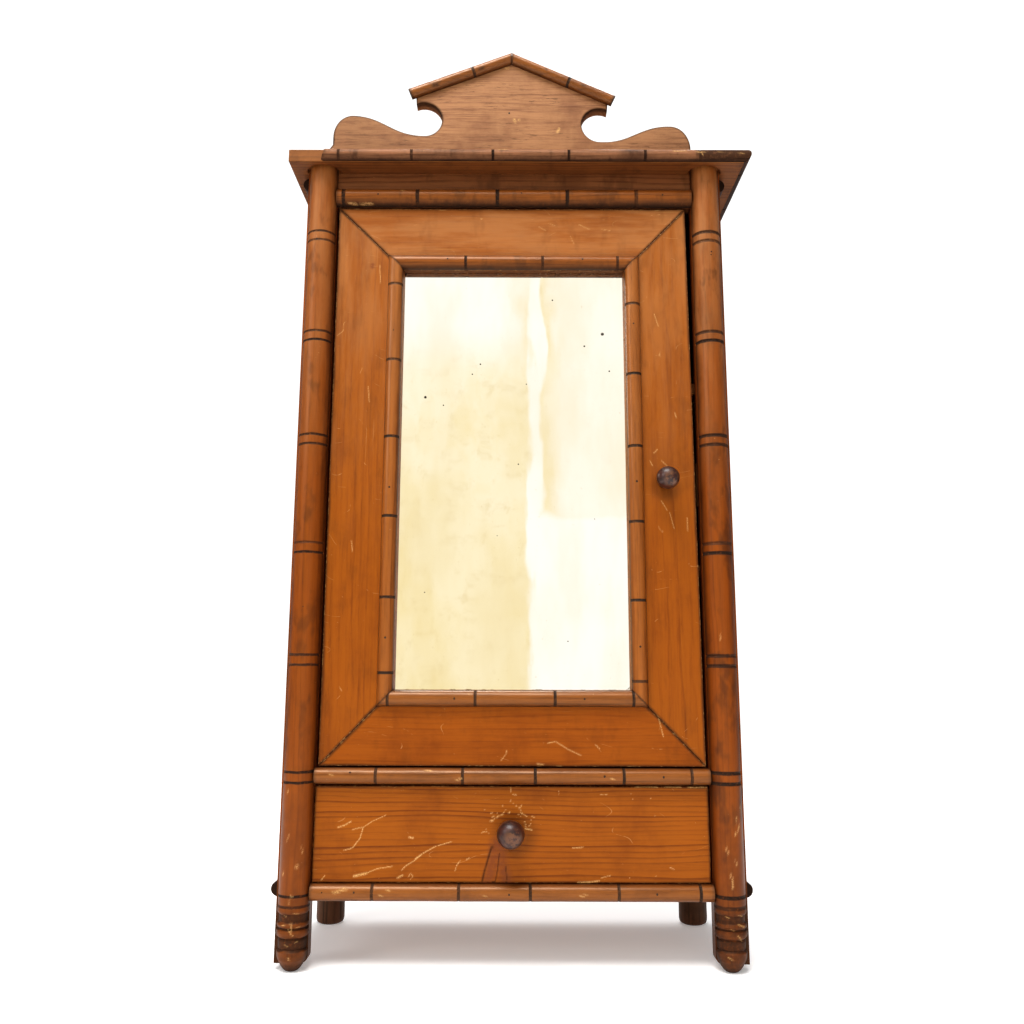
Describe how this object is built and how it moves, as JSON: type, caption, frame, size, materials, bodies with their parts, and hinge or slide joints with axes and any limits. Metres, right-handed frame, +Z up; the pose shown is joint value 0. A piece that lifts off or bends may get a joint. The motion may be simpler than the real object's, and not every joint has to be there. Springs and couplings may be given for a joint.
{
  "type": "medicine cabinet with mirror",
  "caption": "Small free-standing faux-bamboo pine cabinet: mirrored hinged door, shelves inside, a drawer below, ringed half columns, cornice and gabled crest.",
  "frame": {"origin": "on the floor, under the centre of the overall bounding box", "axes": "+Z up, front with the door towards -Y, +X to the viewer's right"},
  "size_m": [0.3636, 0.164, 0.6989],
  "materials": {
    "pine": "waxed orange-brown pitch pine",
    "column_wood": "polished turned wood, black-stained rings",
    "moulding_wood": "polished half-round moulding, dark rings",
    "crest_wood": "duller sun-faded pine",
    "dark_wood": "dark-stained wood, worn edges",
    "knob_wood": "dark turned wood, worn crown",
    "raw_wood": "unfinished aged pine",
    "mirror": "old silvered glass",
    "iron": "dull iron wire"
  },
  "bodies": {
    "carcass": {"stile_left": "pine", "stile_right": "pine", "side_panel_left": "pine", "side_panel_right": "pine", "bottom_board": "pine", "divider_board": "pine", "shelf_lower": "pine", "shelf_upper": "pine", "frieze_rail": "pine", "cornice_board": "pine", "base_moulding_left": "pine", "base_moulding_right": "pine", "top_moulding_left": "pine", "top_moulding_right": "pine", "column_left": "column_wood", "column_right": "column_wood", "back_foot_left": "dark_wood", "back_foot_right": "dark_wood", "cornice_moulding_front": "dark_wood", "cornice_moulding_right": "dark_wood", "frieze_moulding": "moulding_wood", "divider_moulding": "moulding_wood", "bottom_moulding": "moulding_wood", "crest_moulding_left": "moulding_wood", "crest_moulding_right": "moulding_wood", "crest_board": "crest_wood", "drawer_guide_left": "raw_wood", "drawer_guide_right": "raw_wood", "shelf_cleat_lower_left": "raw_wood", "shelf_cleat_lower_right": "raw_wood", "shelf_cleat_upper_left": "raw_wood", "shelf_cleat_upper_right": "raw_wood", "door_stop": "raw_wood", "latch_keeper": "raw_wood", "back_board_left": "raw_wood", "back_board_middle": "raw_wood", "back_board_right": "raw_wood", "pivot_pin_bottom": "iron", "pivot_pin_top": "iron"},
    "door": {"door_stile_left": "pine", "door_stile_right": "pine", "door_rail_top": "pine", "door_rail_bottom": "pine", "door_moulding_left": "moulding_wood", "door_moulding_right": "moulding_wood", "door_moulding_top": "moulding_wood", "door_moulding_bottom": "moulding_wood", "mirror": "mirror", "mirror_backing": "raw_wood", "backing_strip_top": "raw_wood", "backing_strip_bottom": "raw_wood"},
    "latch": {"door_knob": "knob_wood", "latch_spindle": "iron", "latch_tongue": "raw_wood"},
    "drawer": {"drawer_front": "pine", "drawer_side_left": "raw_wood", "drawer_side_right": "raw_wood", "drawer_back": "raw_wood", "drawer_bottom": "raw_wood", "drawer_knob": "knob_wood"}
  },
  "joints": [
    {"name": "door_hinge", "type": "hinge", "parent": "carcass", "child": "door", "pos_m": [-0.13975, -0.052, 0.35], "axis": [0, 0, -1], "range_deg": [0, 105]},
    {"name": "latch_turn", "type": "hinge", "parent": "door", "child": "latch", "pos_m": [0.11075, -0.056, 0.346], "axis": [0, 1, 0], "range_deg": [0, 90]},
    {"name": "drawer_slide", "type": "slide", "parent": "carcass", "child": "drawer", "axis": [0, -1, 0], "range_m": [0, 0.1]}
  ]
}
